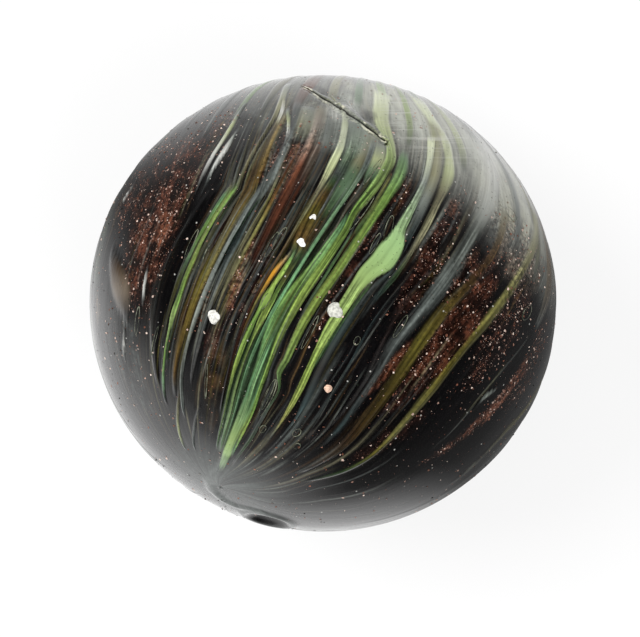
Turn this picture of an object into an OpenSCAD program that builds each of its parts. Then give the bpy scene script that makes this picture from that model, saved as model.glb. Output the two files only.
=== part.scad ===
// Handmade glass marble: a dark ball with coloured strands drawn from pole to pole.
// The origin is the ball's centre. +Z points out of the side that shows best.
// The pontil pole is where the strands were gathered and the hot glass was broken off the rod.
// A place on the ball is a meridian, lon, and an angle from the pontil pole, colat, both in degrees.

/* [Ball] */
// Widest diameter of the ball, across X and Z
ball_w = 19.0; // [17:0.1:22]
// Diameter of the ball along Y, a little less because the soft glass sagged
ball_h = 18.6; // [17:0.1:22]

/* [Strands] */
// Height of a strand above the ball
strand_relief = 0.08; // [0.07:0.01:0.12]
// Depth that a strand reaches into the ball
strand_root = 0.4; // [0.2:0.05:1]
// Angle between a strand's stations
strand_step = 8.5; // [6:0.5:9]
// How far the strands swirl beside the pontil pole
near_swirl = 2.5; // [0:0.1:6]
// How far the strands turn on their way to the far pole
far_twist = 30; // [0:1:60]
// How strongly the strands crowd together on the back, away from the middle of the ball
bunching = 0.5; // [0:0.02:0.6]

/* [Pontil] */
// Direction of the pontil pole around Z, from +X
pole_azimuth = 240.9; // [0:0.1:360]
// Direction of the pontil pole above the X-Y plane
pole_elevation = 23.6; // [-60:0.1:60]
// Meridian on which the pit lies
pit_lon = -128; // [-160:1:-100]
// Angle between the pole and the pit's centre
pit_colat = 18.5; // [16:0.5:22]
// Width of the pit where the rod was broken off
pit_d = 1.8; // [1.2:0.1:2.4]
// Depth of the pit
pit_depth = 0.35; // [0.2:0.05:0.6]
// Height of the rounded lip around the pit
lip_h = 0.07; // [0.05:0.01:0.12]
// Section radius of the rounded lip
lip_r = 0.3; // [0.2:0.05:0.5]
// Height of the drawn-out tail of glass above the ball
tail_h = 0.13; // [0.13:0.01:0.25]

/* [Fold] */
// Width of the groove where the glass folded over itself
fold_w = 0.14; // [0.1:0.02:0.24]
// Depth of the groove
fold_depth = 0.2; // [0.1:0.02:0.4]
// Width of the ridge beside the groove
ridge_w = 0.34; // [0.2:0.02:0.6]
// Height of the ridge above the ball
ridge_h = 0.13; // [0.13:0.01:0.2]

/* [Specks] */
// Diameter of the largest white stone caught in the glass
speck_d = 0.66; // [0.4:0.02:1]

/* [Hidden] */
$fn = 96;

DARK = [0.09, 0.07, 0.07];
GREEN = [0.3, 0.52, 0.2];
LIME = [0.5, 0.68, 0.2];
MINT = [0.5, 0.75, 0.5];
OLIVE = [0.42, 0.38, 0.08];
SLATE = [0.38, 0.44, 0.46];
COPPER = [0.38, 0.19, 0.12];
PALE = [0.78, 0.82, 0.62];
WHITE = [0.95, 0.94, 0.9];

// One row a strand: its meridian and width at the middle of the ball,
// the angles from the pontil pole at which it starts and ends, and its colour.
STRANDS = [
    [-79, 7.0, 52, 112, COPPER],
    [-62, 4.0, 44, 118, COPPER],
    [-40, 3.0, 26, 150, OLIVE],
    [-33.5, 6.5, 44, 120, COPPER],
    [-27, 3.4, 24, 130, OLIVE],
    [-22, 2.6, 28, 158, SLATE],
    [-7.5, 5.2, 22, 160, MINT],
    [0.5, 3.0, 24, 112, GREEN],
    [5.2, 4.4, 12, 160, LIME],
    [10.4, 3.6, 12, 108, GREEN],
    [14.6, 2.2, 30, 122, PALE],
    [21.5, 4.4, 48, 122, COPPER],
    [27.2, 2.2, 18, 120, SLATE],
    [31.4, 2.8, 28, 124, OLIVE],
    [36.4, 3.4, 18, 84, GREEN],
    [56, 8.0, 46, 110, COPPER],
    [77, 3.4, 26, 150, OLIVE],
    [106, 6.0, 22, 158, GREEN],
    [128, 8.0, 46, 120, COPPER],
    [150, 5.0, 20, 156, MINT],
    [176, 4.0, 30, 140, SLATE],
    [200, 6.0, 18, 158, LIME],
    [226, 8.0, 50, 118, COPPER],
    [252, 4.6, 22, 150, GREEN],
];

// Course of the tail that was drawn off the strands and laid down beside the pit:
// meridian, angle from the pole and width in millimetres.
TAIL = [
    [9, 15, 0.36], [16, 9.5, 0.44], [34, 5, 0.52], [90, 3, 0.58], [160, 4.4, 0.62],
    [198, 7.6, 0.6], [221, 9.6, 0.54], [240, 10.6, 0.44], [252, 13, 0.3],
];

// Meridian and angle from the pole of each white stone, and its share of speck_d.
SPECKS = [
    [-3.7, 66.4, 1.0], [28.5, 52.7, 0.72], [12.3, 77.3, 0.56], [-15, 49.1, 0.5], [12.7, 84.3, 0.38],
];

// Where the fold starts and ends: meridian and angle from the pole.
FOLD_FROM = [6, 114];
FOLD_TO = [43, 126.8];
// How far its middle lies beyond the straight run, away from the pontil pole.
FOLD_BOW = -0.5;
FOLD_STATIONS = 10;
// Share of the fold's length by which the slit runs on past each end of the ridge.
FOLD_RUN_OUT = 0.03;

// The ball's section is a four-arc oval, whose arcs have their centres this far from the middle.
oval_shift = (ball_w - ball_h) / 2 * (1 + sqrt(1 / 2));

POLE = [cos(pole_elevation) * cos(pole_azimuth), cos(pole_elevation) * sin(pole_azimuth),
        sin(pole_elevation)];
FRONT = [-sin(pole_elevation) * cos(pole_azimuth), -sin(pole_elevation) * sin(pole_azimuth),
         cos(pole_elevation)];
SIDE = cross(POLE, FRONT);

// Unit vector towards a place on the ball. Meridian 0 passes through the +Z side.
function direction(lon, colat) =
    cos(colat) * POLE + sin(colat) * (cos(lon) * FRONT + sin(lon) * SIDE);

// Distance along the unit vector u, in the oval's plane, to an arc of radius r around centre c.
function reach(u, c, r) = u * c + sqrt(pow(u * c, 2) - c * c + r * r);

// Distance from the centre to the skin along unit vector v: the side arc of the oval, or the end arc.
function skin(v) =
    let (u = [norm([v.x, v.z]), abs(v.y)], side_r = ball_w / 2 - oval_shift, end_r = ball_h / 2 + oval_shift)
    u.y * (oval_shift + side_r * cos(45)) > u.x * side_r * sin(45)
        ? reach(u, [0, -oval_shift], end_r)
        : reach(u, [oval_shift, 0], side_r);

// Point at height h above the skin, in the direction of v.
function above(v, h) = let (u = v / norm(v)) (skin(u) + h) * u;

// The twist law: the meridian that a strand has reached at angle colat from the pontil pole.
function strand_lon(base, colat) =
    let (near = max(0, 75 - colat) / 60, far = max(0, colat - 85) / 70)
    base + (180 / PI) * bunching * (pow(near, 1.1) + 0.9 * far) * sin(base)
        + near_swirl * pow(near, 12) + far_twist * pow(far, 3);

// Full width in the middle of a strand, drawn out to a third at its ends.
function strand_taper(share) = 0.35 + 0.65 * sqrt(abs(sin(180 * share)));

// Section of a rib between the unit vectors of its two edges, from its root to its crown.
function ring(first, second, top, root, columns = 1) = concat(
    [above(first, -root), above(second, -root)],
    [for (k = [columns : -1 : 0]) above(first + (second - first) * k / columns, top)]);

// Both edges of a rib of width w, beside point i of its path of unit vectors.
function edges(path, i, w) =
    let (
        travel = path[min(i + 1, len(path) - 1)] - path[max(i - 1, 0)],
        across = cross(path[i], travel),
        half = w / 2 / skin(path[i]) * across / norm(across)
    )
    [path[i] - half, path[i] + half];

// A closed solid through rings of points that all have the same count.
module loft(rings) {
    n = len(rings[0]);
    last = len(rings) - 1;
    sides = [for (i = [0 : last - 1], j = [0 : n - 1])
        let (a = i * n + j, b = i * n + (j + 1) % n)
        each [[a, a + n, b], [b, a + n, b + n]]];
    start = [for (j = [0 : n - 1]) j];
    end = [for (j = [n - 1 : -1 : 0]) last * n + j];
    polyhedron([for (r = rings) each r], concat(sides, [start, end]), convexity = 10);
}

// Stands its children on the skin at a place, with +Z pointing outwards.
module on_skin(lon, colat) {
    v = direction(lon, colat);
    rotate([0, acos(v.z), atan2(v.y, v.x)]) translate([0, 0, skin(v)]) children();
}

module arc_sector(r, from, to) {
    intersection() {
        circle(r);
        polygon([[0, 0], 2 * r * [cos(from), sin(from)], 2 * r * [cos(to), sin(to)]]);
    }
}

// Half of a four-arc oval, whose arcs meet at 45 degrees without a corner. It may be wide or tall.
module half_oval() {
    intersection() {
        union() {
            translate([0, -oval_shift]) arc_sector(ball_h / 2 + oval_shift, 45, 90);
            translate([oval_shift, 0]) arc_sector(ball_w / 2 - oval_shift, -45, 45);
            translate([0, oval_shift]) arc_sector(ball_h / 2 + oval_shift, -90, -45);
            polygon([[0, -ball_h / 4], [oval_shift, 0], [0, ball_h / 4]]);
        }
        translate([0, -ball_h]) square([ball_w, 2 * ball_h]);
    }
}

module ball() {
    color(DARK) rotate([-90, 0, 0]) rotate_extrude() half_oval();
}

module strand(base, width, from, to) {
    steps = ceil((to - from) / strand_step);
    columns = ceil(width / 5);
    loft([for (i = [0 : steps])
        let (colat = from + (to - from) * i / steps, half = width / 2 * strand_taper(i / steps))
        ring(direction(strand_lon(base - half, colat), colat),
             direction(strand_lon(base + half, colat), colat), strand_relief, strand_root, columns)]);
}

module tail() {
    path = [for (t = TAIL) direction(t[0], t[1])];
    color(PALE)
        loft([for (i = [0 : len(TAIL) - 1])
            let (e = edges(path, i, TAIL[i][2]))
            ring(e[0], e[1], tail_h, strand_root)]);
}

// Rounded lip that the glass drew up around the pit.
module lip() {
    ring_r = pit_d / 2 + lip_r / 2;
    drop = ball_w / 2 - sqrt(pow(ball_w / 2, 2) - pow(ring_r, 2));
    color(DARK)
        on_skin(pit_lon, pit_colat)
            translate([0, 0, lip_h - lip_r - drop])
                rotate_extrude() translate([ring_r, 0]) circle(lip_r, $fn = 32);
}

// Dish that the broken rod left, to be cut away.
module pit() {
    r = (pow(pit_d / 2, 2) + pow(pit_depth, 2)) / (2 * pit_depth);
    on_skin(pit_lon, pit_colat) translate([0, 0, r - pit_depth]) sphere(r);
}

// Stations along the fold, as shares of its length.
fold_shares = [for (i = [0 : FOLD_STATIONS]) i / FOLD_STATIONS];

// Unit vectors towards the fold at each share of its length.
function fold_path(shares) = [for (share = shares)
    let (place = FOLD_FROM + (FOLD_TO - FOLD_FROM) * share)
    direction(place[0], place[1] + FOLD_BOW * sin(180 * share))];

// Slit between the two layers of folded glass, to be cut away.
module fold_groove() {
    shares = concat([-FOLD_RUN_OUT], fold_shares, [1 + FOLD_RUN_OUT]);
    path = fold_path(shares);
    loft([for (i = [0 : len(path) - 1])
        let (taper = strand_taper(max(0, min(1, shares[i]))), e = edges(path, i, fold_w * taper))
        ring(e[0], e[1], 2 * ridge_h, fold_depth * taper)]);
}

// Upper layer of the folded glass, which stands a little proud beside the slit.
module fold_ridge() {
    path = fold_path(fold_shares);
    color(PALE)
        loft([for (i = [0 : FOLD_STATIONS])
            let (e = edges(path, i, 2 * ridge_w * strand_taper(fold_shares[i])))
            ring(path[i], e[1], ridge_h, strand_root)]);
}

// White stones, with blunt facets where they set.
module specks() {
    color(WHITE)
        for (s = SPECKS)
            on_skin(s[0], s[1]) translate([0, 0, -speck_d * s[2] / 4]) sphere(d = speck_d * s[2], $fn = 12);
}

module marble() {
    difference() {
        union() {
            ball();
            for (s = STRANDS)
                color(s[4]) strand(s[0], s[1], s[2], s[3]);
            tail();
            lip();
            fold_ridge();
            specks();
        }
        pit();
        fold_groove();
    }
}

marble();
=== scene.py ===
"""A handmade glass marble: dark aventurine glass with strands drawn out of a pontil pole.

The ball is one fine mesh whose columns follow the twist of the strands, so that colour and relief run
along them. A place on the ball is a meridian, lon, and an angle from the pontil pole, colat, in degrees.
Sizes are in millimetres up to the moment a mesh is made. Colours are written as 0 to 255 on screen.
"""

import math

import bmesh
import bpy
import numpy as np
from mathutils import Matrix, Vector


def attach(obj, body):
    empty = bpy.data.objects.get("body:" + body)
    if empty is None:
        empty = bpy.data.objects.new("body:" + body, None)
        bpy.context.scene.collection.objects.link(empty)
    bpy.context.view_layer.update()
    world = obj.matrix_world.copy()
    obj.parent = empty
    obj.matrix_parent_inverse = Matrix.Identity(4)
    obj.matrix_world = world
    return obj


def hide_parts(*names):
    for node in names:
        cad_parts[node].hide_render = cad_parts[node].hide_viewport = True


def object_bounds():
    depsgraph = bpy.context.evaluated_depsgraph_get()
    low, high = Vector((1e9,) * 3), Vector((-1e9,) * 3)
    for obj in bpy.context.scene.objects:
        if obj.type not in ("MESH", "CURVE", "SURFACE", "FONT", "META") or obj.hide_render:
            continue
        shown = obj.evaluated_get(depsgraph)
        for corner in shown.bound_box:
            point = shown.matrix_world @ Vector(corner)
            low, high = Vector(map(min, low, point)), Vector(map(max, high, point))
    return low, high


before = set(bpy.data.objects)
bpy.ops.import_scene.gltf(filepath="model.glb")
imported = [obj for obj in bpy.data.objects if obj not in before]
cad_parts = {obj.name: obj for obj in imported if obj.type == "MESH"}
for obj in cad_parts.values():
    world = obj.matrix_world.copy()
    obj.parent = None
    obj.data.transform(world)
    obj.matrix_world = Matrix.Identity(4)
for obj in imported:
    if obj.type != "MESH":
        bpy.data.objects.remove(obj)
CAD_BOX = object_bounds()
MM = 0.001

# Form of the ball, as in the part
BALL_W = 19.0
BALL_H = 18.6
POLE_AZIMUTH = 240.9
POLE_ELEVATION = 23.6
NEAR_SWIRL = 2.5
FAR_TWIST = 30.0
BUNCHING = 0.5
STRAND_RELIEF = 0.08
PIT_LON = -128.0
PIT_COLAT = 18.5
PIT_D = 1.8
PIT_DEPTH = 0.35
LIP_H = 0.07 * 1.3
TAIL_H = 0.13
FOLD_W = 0.14
FOLD_DEPTH = 0.2
SPECK_D = 0.66

# Course of the tail laid down beside the pit: meridian, angle from the pole, width
TAIL = ((9, 15, 0.36), (16, 9.5, 0.44), (34, 5, 0.52), (90, 3, 0.58), (160, 4.4, 0.62),
        (198, 7.6, 0.6), (221, 9.6, 0.54), (240, 10.6, 0.44), (252, 13, 0.3))
FOLD_FROM = np.array((6, 114))
FOLD_TO = np.array((43, 126.8))
FOLD_BOW = -0.5
# Points along the fold for its strip, and fewer for measuring from it
FOLD_POINTS = 110
FOLD_STEPS = 15
# How far from the fold's middle its surroundings are read, and the radius at which they are matched
FOLD_REACH = 4.2
MEAN_R = 9.4
# Section of the fold: distance across it, height, share of the skin's colour kept (low in the slit as
# painted shade), share of painted glints and of a paler crest as painted highlight
FOLD_PROFILE = (
    (-0.36, -0.03, 1.0, 0.0), (-0.26, 0.006, 1.0, 0.2), (-0.14, 0.02, 1.0, 0.5), (-0.07, 0.02, 0.9, 0.7),
    (-0.04, -0.02, 0.4, 0.1), (-0.015, -0.1, 0.06, 0.0), (0.015, -0.1, 0.05, 0.0), (0.035, 0.0, 0.2, 0.0),
    (0.06, 0.05, 0.7, 0.5), (0.11, 0.08, 1.0, 0.8), (0.2, 0.07, 0.9, 0.3), (0.3, 0.04, 0.9, 0.0),
    (0.4, 0.01, 1.0, 0.0), (0.48, -0.03, 1.0, 0.0),
)

# Colours
BLACK = (9, 8, 9)
EMBER = (52, 27, 18)
RUST = (84, 45, 29)
BRICK = (98, 57, 39)
UMBER = (64, 46, 24)
BRONZE = (92, 70, 36)
OLIVE = (84, 78, 28)
KHAKI = (106, 104, 58)
SAND = (116, 112, 88)
BEIGE = (142, 140, 108)
CREAM = (172, 180, 134)
DEEP = (28, 52, 26)
FERN = (62, 86, 52)
LEAF = (106, 139, 67)
LIME = (132, 154, 74)
SPRING = (139, 163, 97)
MINT = (150, 184, 124)
SAGE = (96, 122, 92)
JADE = (98, 142, 98)
TEAL = (55, 70, 70)
SLATE = (72, 76, 74)
STEEL = (99, 106, 102)
SILVER = (128, 134, 126)
AMBER = (204, 144, 42)
SMOKE = (52, 51, 50)
DUST = (110, 98, 84)
ROSE = (142, 118, 102)
HONEY = (122, 104, 62)
CHALK = (204, 204, 198)
PALE = (208, 214, 178)
# Pale milky glass over the strands' far ends, partly a painted reflection
VEIL = (192, 194, 182)
FOLD_GLINT = (250, 246, 222)
# Bright painted glints on the fold's upper edge
COPPER = (98, 57, 41)
GLINT = (255, 238, 224)

# The strands: name, haze, shades by angle from the pole, then the places along the course, each one an
# angle from the pole, a meridian and a width in degrees of meridian. With no haze the edge is crisp, and
# with 1 the strand fades out across its whole width. Each strand's wobble is seeded by its place here.
STRANDS = (
    ("olive_a", 0.45, {27: SLATE, 35: FERN, 45: OLIVE, 53: KHAKI, 72: OLIVE, 97: KHAKI, 132: BEIGE},
     (27, -46.5, 1.6), (35, -47.6, 1.8), (45, -46, 1.8), (48.5, -44.6, 2), (57, -41.7, 2), (66, -40, 2.2),
     (78, -39.2, 2), (88, -40.4, 2.4), (97, -42.2, 2.4), (107, -44.8, 2.8), (118, -49, 3.2), (132, -54, 5)),
    ("olive_b", 0.6, {27: SMOKE, 44: UMBER, 72: OLIVE, 94: UMBER, 106: BRONZE, 118: SAND}, (27, -37.5, 2.4),
     (38, -35.8, 2.8), (50, -31.8, 2.8), (60, -29.4, 3), (72, -27.9, 3.4), (83, -28, 3), (94, -31, 2),
     (106, -33.4, 2.2), (118, -33.8, 3)),
    ("olive_b_edge", 0, {36: SLATE, 45: BRONZE, 66: OLIVE}, (36, -38, 0.4), (45, -35.2, 0.4),
     (55, -32.3, 0.4), (66, -30.2, 0.4)),
    ("slate_c", 0.85, {36: SMOKE, 43: TEAL, 54: SLATE, 84: STEEL, 104: SILVER, 127: CHALK}, (36, -30, 1),
     (43, -28.4, 1.5), (49, -26.3, 1.5), (60, -23.7, 1.7), (66, -22.5, 2.2), (78, -22.8, 2.8),
     (90, -24, 3.2), (102, -25.3, 3.4), (114, -27, 5), (128, -27, 8), (140, -25, 10)),
    ("thread_l1", 0.9, {30: SMOKE, 62: TEAL, 86: SMOKE}, (30, -20.4, 0.5), (40, -19, 0.5), (55, -16, 0.5),
     (70, -14, 0.5), (86, -15.6, 0.5)),
    ("thread_l2", 0.9, {58: SMOKE, 86: EMBER}, (58, -21.4, 0.7), (70, -18.6, 0.8), (86, -19.2, 0.6)),
    ("thread_l3", 0.9, {28: SMOKE}, (28, -25.2, 0.5), (45, -24.6, 0.5), (60, -21.9, 0.8)),
    ("reed", 0.3, {74: TEAL, 82: FERN, 90: SAND, 97: BEIGE, 108: SAND, 116: CREAM, 130: PALE},
     (74, -11, 1.2), (80, -12.3, 1.2), (85, -12.7, 1), (90, -12.7, 1), (97, -13, 1.4), (105, -13.2, 1.6),
     (111, -13.3, 2.6), (116, -12.8, 3.2), (122, -11, 2.8), (128, -8, 4), (135, -1, 6), (144, 7, 8)),
    ("slate_e", 0.6, {25: SMOKE, 32: SLATE, 40: TEAL, 52: SMOKE, 64: TEAL, 76: SLATE, 82: TEAL},
     (25, -13.8, 1), (32, -13.6, 1), (38, -13, 1.2), (42, -12, 2), (52, -9.4, 2.2), (64, -8, 2),
     (76, -9.4, 1.4), (82, -11.4, 1.2)),
    ("slate_f", 0.6, {90: TEAL, 98: STEEL, 104: SILVER, 112: BEIGE, 132: BEIGE}, (90, -10.6, 1.2),
     (98, -10.2, 2), (104, -9.6, 2.6), (112, -9.4, 3), (122, -7, 3.6), (132, -3, 5)),
    ("lime_d", 0, {29: SLATE, 35: KHAKI, 50: LIME, 75: SPRING, 89: MINT, 108: SILVER, 122: PALE},
     (29, -9.7, 0.6), (35, -9.2, 1), (40, -8.4, 1.7), (45, -7.4, 2.2), (50, -6.3, 2.3), (55, -5.6, 2.4),
     (60, -5.3, 2.8), (70, -5.4, 2.8), (75, -5.6, 3.4), (79, -6.4, 5), (82, -7.6, 6.4), (86, -8.1, 6.4),
     (89, -8.4, 4.8), (92, -7.9, 2.8), (96, -7.8, 2.1), (100, -7.8, 1.6), (109, -7.6, 1.6),
     (114, -6.8, 1.8), (124, -4.5, 2.4)),
    ("lime_d_edge", 0, {52: FERN}, (52, -7.2, 0.6), (64, -7, 0.7), (76, -8, 0.8)),
    ("green_e", 0.15, {15: SLATE, 22: FERN, 32: SLATE, 43: FERN, 62: LIME, 98: LEAF, 113.5: SAGE},
     (15, 0.4, 2.4), (20, -0.8, 1.8), (25, -1.6, 1.6), (30, -1.4, 1.4), (35, -1.2, 1.2), (43.4, -0.4, 1),
     (45, 1.2, 1.7), (50, 1.6, 2), (60, 2.1, 2.1), (65, 1.8, 2.3), (75, 0.7, 2.4), (80, 0.4, 2.3),
     (90, -0.4, 2.3), (100, -1.1, 2.4), (105, -1.2, 2.8), (110, -0.5, 3), (113.5, 0.4, 2)),
    ("green_e_side", 0, {60: SMOKE, 74: FERN}, (60, 3.6, 0.6), (66, 3.4, 0.8), (72, 2.9, 0.8),
     (84, 2.2, 0.5)),
    ("leaf_e2", 0, {86: FERN, 104: KHAKI}, (86, 1.6, 0.9), (93, 0.9, 0.9), (104, 0.7, 0.9)),
    ("main_deep", 0.6, {17: FERN, 50: DEEP, 92: BLACK}, (17, 14.2, 9.5), (25, 13.4, 8.4), (35, 13.6, 7.6),
     (45, 13.4, 7), (55, 12.8, 5.8), (65, 11.6, 5.2), (72, 10, 4.6), (80, 7.4, 3.4), (92, 6.2, 2.8)),
    ("main_body", 0.25, {11: MINT, 22: SPRING, 38: JADE, 68: LEAF, 88: JADE}, (11, 11.2, 7), (16, 9.4, 7),
     (20, 7.8, 6.6), (25, 7.2, 5.6), (30, 7, 5.2), (35, 7.2, 5), (40, 7.8, 4.4), (45, 8.3, 4),
     (50, 8.6, 4.2), (60, 8.4, 4.2), (65, 7.8, 3.4), (70, 7.1, 2.8), (80, 5.7, 2), (84, 5.3, 1.4),
     (88, 5.1, 0.8)),
    ("main_light", 0, {28: MINT, 52: JADE}, (28, 7.4, 1.3), (36, 7.7, 1.2), (42, 8, 1.1), (52, 8.3, 0.8)),
    ("main_groove", 0, {33: FERN, 72: LEAF}, (33, 5.9, 0.4), (45, 6.9, 0.4), (58, 7.2, 0.4),
     (72, 6.2, 0.3)),
    ("main_lime", 0.15, {18: JADE, 26: LIME, 34: LEAF, 62: LIME, 93: LEAF, 107: SPRING, 120: CREAM,
     132: PALE}, (18, 5.2, 2.6), (22, 4.8, 2.8), (26, 4.4, 2.6), (30, 4, 1.6), (34, 4.2, 1.4),
     (38, 4.9, 1.2), (46, 5.8, 1.2), (55, 6.4, 1.6), (60, 6.2, 1.6), (65, 5.9, 1.8), (70, 5.3, 1.9),
     (80, 4.2, 1.8), (85, 3.8, 1.5), (91, 4, 1.4), (95, 3.3, 2), (100, 2.6, 2.4), (105, 2.5, 2.4),
     (110, 3.1, 2.6), (113, 4.6, 2.6), (117, 8, 4), (122, 11.5, 5), (128, 14, 6), (136, 18, 7)),
    ("g1", 0, {20: SAGE, 63: JADE, 92: SAGE, 106: STEEL}, (20, 12.6, 1.2), (25, 11.8, 1.1), (30, 11.6, 1),
     (35, 11.9, 0.9), (45, 12.3, 0.85), (50, 11.9, 0.85), (60, 11.1, 0.85), (70, 10, 0.8), (75, 9.4, 0.8),
     (80, 8.8, 0.8), (90, 7.9, 0.7), (95, 7.6, 0.8), (100, 7.5, 1), (106, 7.8, 1.4), (112, 9, 1.6)),
    ("g2", 0, {18: SAGE, 58: LIME, 64: LEAF, 68: KHAKI, 73: FERN}, (18, 15.6, 1.6), (24, 14.6, 1.5),
     (30, 14.3, 1.2), (36, 14.6, 1), (42, 14.5, 1), (48, 14.2, 0.9), (53, 13.9, 0.9), (57, 13.5, 1.6),
     (60, 12.9, 1.2), (64, 12.5, 0.9), (68, 12, 0.9), (73, 11.3, 1.2)),
    ("g3", 0, {18: SAGE, 42: LIME, 55: LEAF, 67: LIME, 72: LEAF, 74: SAGE}, (18, 19, 1.4), (24, 17.6, 1.3),
     (30, 16.8, 1.2), (36, 16.9, 1.2), (42, 16.9, 1.4), (48, 16.4, 1.5), (53, 15.8, 1.4), (58, 15.1, 1.2),
     (61, 14.6, 2.4), (65, 14.2, 1.2), (69, 13.4, 1.2), (72, 13, 0.9), (74, 12.8, 0.5)),
    ("g_dark", 0, {22: DEEP}, (22, 16.1, 0.5), (40, 15.7, 0.6), (52, 14.9, 0.6)),
    ("amber", 0, {50: UMBER, 55: BRONZE, 60: KHAKI, 68: AMBER, 73.5: BEIGE}, (50, 17.8, 0.5),
     (55, 17.4, 0.6), (60, 16.9, 0.7), (64, 16.2, 0.8), (68, 15.4, 0.9), (71, 14.5, 0.8),
     (73.5, 13.6, 0.5)),
    ("tan", 0.5, {74: FERN, 78: BRONZE, 86: OLIVE, 91: BRONZE, 95: FERN, 98: SLATE, 106: SAGE, 118: STEEL},
     (74, 12, 3.6), (78, 12.6, 4.6), (86, 12.8, 4.2), (91, 12.9, 3.4), (95, 12.6, 3.2), (98, 12.4, 3.4),
     (103, 12.6, 4), (108, 13, 4.8), (113, 14.4, 6), (118, 17, 6)),
    ("tan_line", 0, {85: STEEL, 95: SLATE, 108: SAGE}, (85, 11.4, 0.5), (95, 11.3, 0.5), (108, 12, 0.4)),
    ("edge_k", 0, {30: BLACK, 60: EMBER, 75: BRONZE, 84: KHAKI, 92: SAND, 99: CREAM, 111: PALE, 117: CREAM,
     124: BEIGE}, (30, 19, 1), (45, 18.6, 1), (55, 18.3, 0.7), (65, 17, 0.6), (75, 15.3, 0.7),
     (84, 14.8, 0.7), (90, 14.6, 0.8), (94, 14.6, 1.1), (98, 14.8, 1.6), (102, 15.2, 1.7), (106, 15.8, 1.7),
     (110, 17.2, 1.8), (113, 18.4, 2.1), (116, 19.8, 2), (118.5, 21.6, 1.4), (124, 29, 0.8)),
    ("smoke_a", 0.6, {55: SMOKE, 79: SLATE, 84: TEAL, 96: SMOKE, 114: SLATE}, (55, 21.4, 0.7),
     (66, 19.7, 0.8), (72, 19, 0.7), (79, 18.2, 1), (84, 17.7, 1), (90, 17.2, 1), (96, 17.6, 2),
     (102, 18.6, 2.4), (114, 22.5, 3)),
    ("rust", 0.6, {68: EMBER, 84: RUST, 96: BRICK, 104: ROSE, 112: ROSE, 118: SAND}, (68, 22.2, 2.2),
     (76, 21.8, 2.4), (82, 21.6, 2.6), (94, 21.6, 2.6), (100, 22.2, 2.8), (106, 23.4, 3), (112, 25.4, 3.2),
     (118, 28, 3.4)),
    ("rust_edge", 0.5, {74: UMBER, 90: RUST, 98: DUST, 105: ROSE}, (74, 19.9, 1.2), (85, 19.6, 1.4),
     (93, 19.6, 1.2), (105, 20.7, 1.2)),
    ("beige_1", 0, {54: SAND, 78: KHAKI, 84: BRONZE, 98: BRICK}, (54, 28, 0.6), (60, 27.2, 0.8),
     (66, 26, 1.3), (72, 25, 0.8), (78, 24.3, 0.8), (84, 24, 0.8), (98, 24.6, 0.8)),
    ("beige_2", 0, {56: SAND, 85: KHAKI, 92: SLATE}, (56, 29.4, 0.6), (62, 28.2, 0.7), (68, 27, 0.7),
     (74, 26, 0.8), (79, 25.3, 0.8), (85, 24.9, 0.6), (92, 25.6, 0.8)),
    ("slate_2", 0.25, {36: SMOKE, 60: SLATE, 72: TEAL, 84: STEEL, 107: SLATE}, (36, 35, 1), (42, 33.4, 1.6),
     (54, 30.8, 1.6), (66, 29.2, 1.6), (72, 28.4, 2), (78, 27.8, 2), (84, 27.6, 2.4), (90, 27.2, 2.2),
     (96, 27.8, 2), (108, 30.6, 2.2), (116, 34.5, 2.6)),
    ("slate_2_dark", 0, {60: BLACK, 84: DEEP}, (60, 31.2, 0.5), (72, 29.4, 0.4), (84, 26.9, 0.4)),
    ("silver_h", 0, {26: STEEL, 48: SILVER, 85: STEEL}, (26, 42.8, 1.4), (30, 41.6, 1.4), (35, 40.4, 1.3),
     (45, 37, 1.2), (50, 35.3, 1.3), (60, 32.5, 1.5), (65, 31.6, 1.4), (75, 29.6, 1.4), (85, 28.3, 1.2)),
    ("silver_near_1", 0.8, {15: STEEL, 28: SMOKE}, (15, 45, 1.8), (20, 39, 1.5), (28, 31, 1.2)),
    ("silver_near_2", 0.7, {15: SILVER, 20: CREAM, 26: BEIGE, 31: SAND}, (15, 59, 2.2), (20, 53.4, 2),
     (26, 47, 1.6), (31, 42.6, 1)),
    ("olive_h", 0.35, {32: SLATE, 36: BRONZE, 63: OLIVE, 90: BRONZE, 98: HONEY, 106: HONEY, 112: SAND},
     (32, 45.5, 2), (36, 44, 2), (45, 40, 2.2), (50, 38, 2.4), (60, 35, 2.6), (65, 33.8, 2.6),
     (75, 32, 2.2), (85, 31.2, 2.4), (95, 32.2, 3.2), (105, 34, 2.6), (112, 36, 2.6)),
    ("olive_h_dark", 0, {48: EMBER}, (48, 39.6, 0.8), (62, 35.9, 0.6), (76, 33.4, 0.6)),
    ("green_i", 0, {29: SLATE, 34: SAGE, 40: LEAF, 50: SPRING, 55: LEAF, 65: LIME, 85: LEAF}, (29, 54, 1.6),
     (34, 51.4, 1.4), (38, 49, 1), (43, 46.6, 0.9), (48, 44.4, 1.2), (51, 43.4, 1.8), (55, 42, 1.2),
     (60, 40.8, 1.1), (65, 39.4, 1.3), (70, 38.2, 1.3), (80, 36, 1.6), (85, 34.9, 1.7)),
    ("green_i_right", 0, {43: SLATE, 58: KHAKI, 64: SAGE, 73: LEAF, 82: JADE, 85: BEIGE}, (43, 48.8, 1),
     (52, 45.2, 1.2), (58, 43.2, 1.2), (64, 41.3, 1.2), (70, 39.6, 1), (76, 38.2, 1), (82, 36.9, 1),
     (85, 36.2, 0.8)),
    ("green_i_left", 0, {40: FERN, 50: SMOKE, 60: SLATE, 72: KHAKI, 78: FERN, 84: SMOKE}, (40, 46.6, 0.6),
     (50, 42.4, 0.6), (60, 39, 0.6), (72, 35.6, 0.7), (78, 34.5, 0.6), (84, 33.4, 0.5)),
    ("pale_j", 0, {86: CREAM, 90: BEIGE, 100: SAND, 113: BEIGE, 126: SILVER}, (86, 34.4, 0.8),
     (90, 34.9, 0.7), (95, 35.5, 0.8), (105, 36.6, 1.1), (110, 37.8, 1.3), (116, 40.5, 1.8),
     (126, 47.5, 2.6)),
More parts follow.
